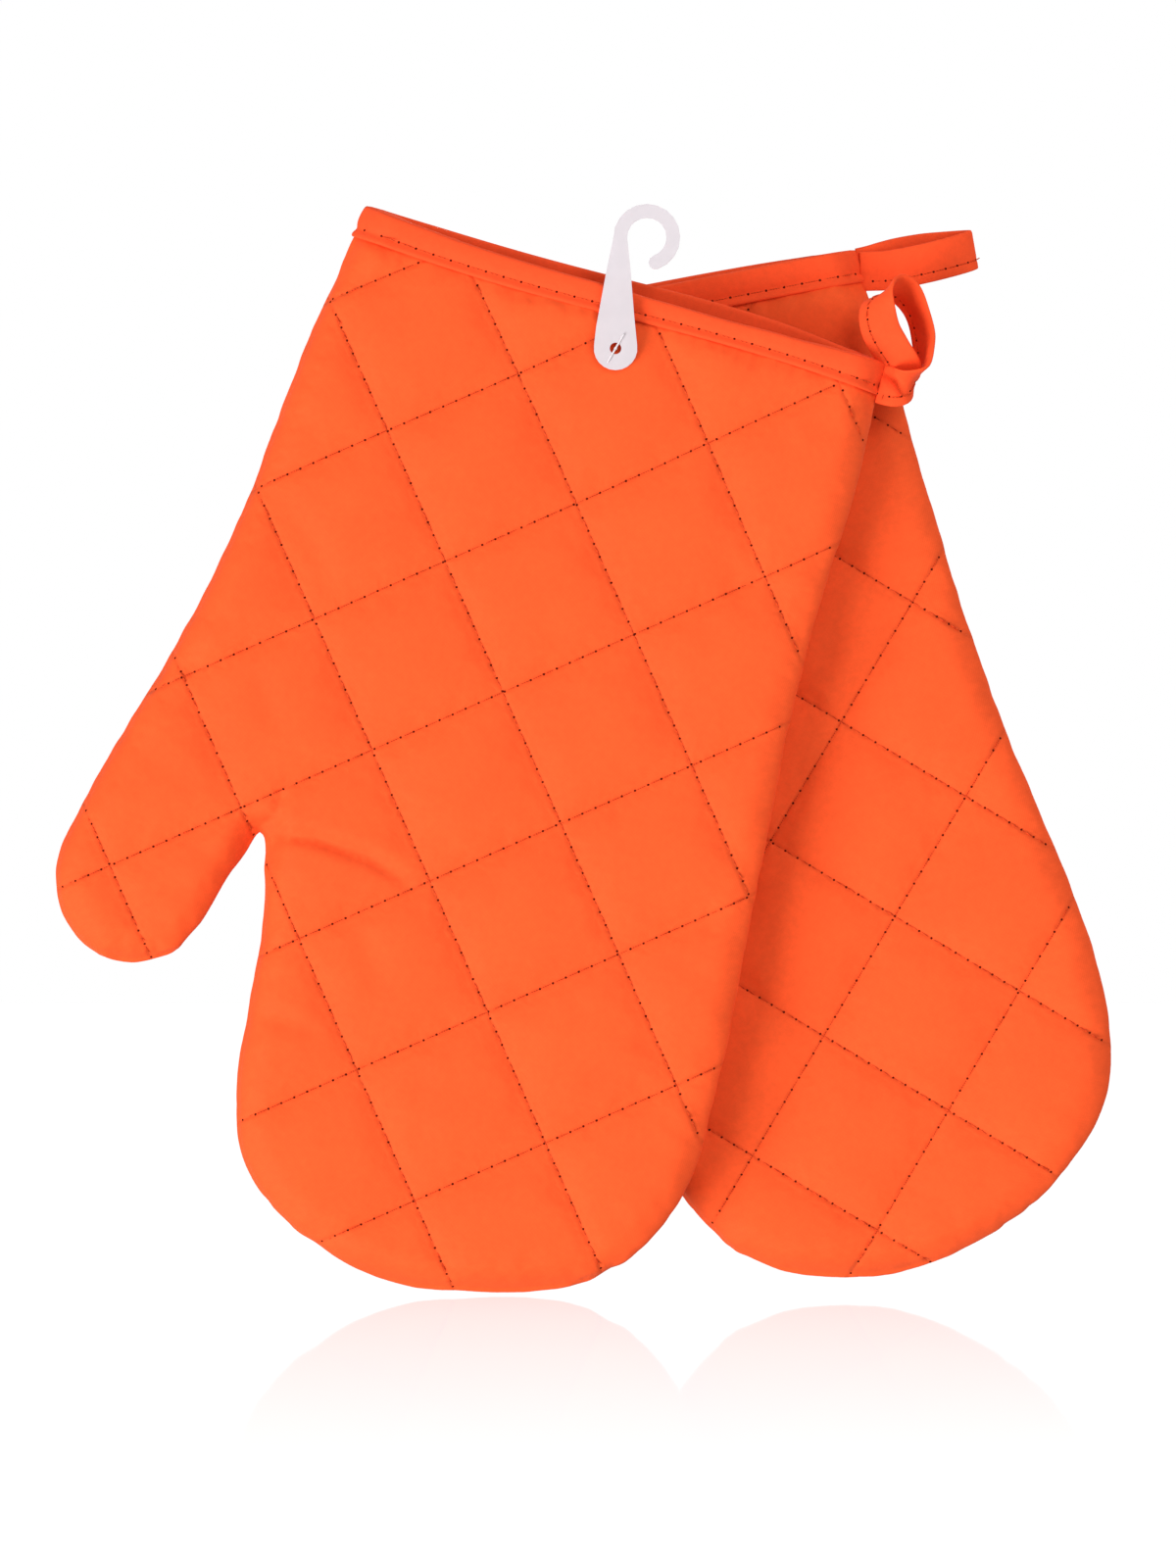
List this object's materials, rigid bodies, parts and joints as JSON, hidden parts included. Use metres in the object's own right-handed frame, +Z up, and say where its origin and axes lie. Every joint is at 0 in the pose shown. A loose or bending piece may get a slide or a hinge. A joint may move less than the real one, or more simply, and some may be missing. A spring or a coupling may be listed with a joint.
{
  "type": "pair of oven mitts",
  "caption": "Pair of quilted cotton oven mitts with bound cuffs and hanging loops, fanned out and pinned to a small plastic hook hanger.",
  "frame": {"origin": "inner top of the hanger's hook, where a peg carries the pair", "axes": "+Z up along the hanging direction, +X to the viewer's right, +Y away from the viewer, from the front mitt to the back mitt"},
  "size_m": [0.2904, 0.0448, 0.3032],
  "materials": {
    "orange_cloth": "bright orange woven cotton with a slight sheen",
    "batting": "off-white needled wadding",
    "lining_cloth": "orange woven cotton, matte",
    "binding_tape": "orange woven cotton tape",
    "milky_plastic": "milky translucent plastic"
  },
  "bodies": {
    "hanger": {"hanger_hook": "milky_plastic", "tag_pin": "milky_plastic"},
    "front_mitt": {"front_mitt_front_shell": "orange_cloth", "front_mitt_front_batting": "batting", "front_mitt_front_lining": "lining_cloth", "front_mitt_rear_shell": "orange_cloth", "front_mitt_rear_batting": "batting", "front_mitt_rear_lining": "lining_cloth", "front_mitt_binding": "binding_tape"},
    "back_mitt": {"back_mitt_front_shell": "orange_cloth", "back_mitt_front_batting": "batting", "back_mitt_front_lining": "lining_cloth", "back_mitt_rear_shell": "orange_cloth", "back_mitt_rear_batting": "batting", "back_mitt_rear_lining": "lining_cloth", "back_mitt_binding": "binding_tape"},
    "front_loop": {"front_mitt_loop": "binding_tape"},
    "back_loop": {"back_mitt_loop": "binding_tape"}
  },
  "joints": [
    {"name": "front_mitt_swing", "type": "hinge", "parent": "hanger", "child": "front_mitt", "pos_m": [-0.0086, 0.0111, -0.036], "axis": [0, 1, 0], "range_deg": [-45, 15]},
    {"name": "back_mitt_swing", "type": "hinge", "parent": "hanger", "child": "back_mitt", "pos_m": [-0.0086, 0.0316, -0.036], "axis": [0, 1, 0], "range_deg": [-15, 45]},
    {"name": "front_loop_flop", "type": "hinge", "parent": "front_mitt", "child": "front_loop", "pos_m": [0.07086, 0.0111, -0.04732], "axis": [0.9537, 0, -0.3007], "range_deg": [0, 90]},
    {"name": "back_loop_swing", "type": "hinge", "parent": "back_mitt", "child": "back_loop", "pos_m": [0.06594, 0.0316, -0.01051], "axis": [-0.1908, 0, 0.9816], "range_deg": [-5, 70]}
  ]
}
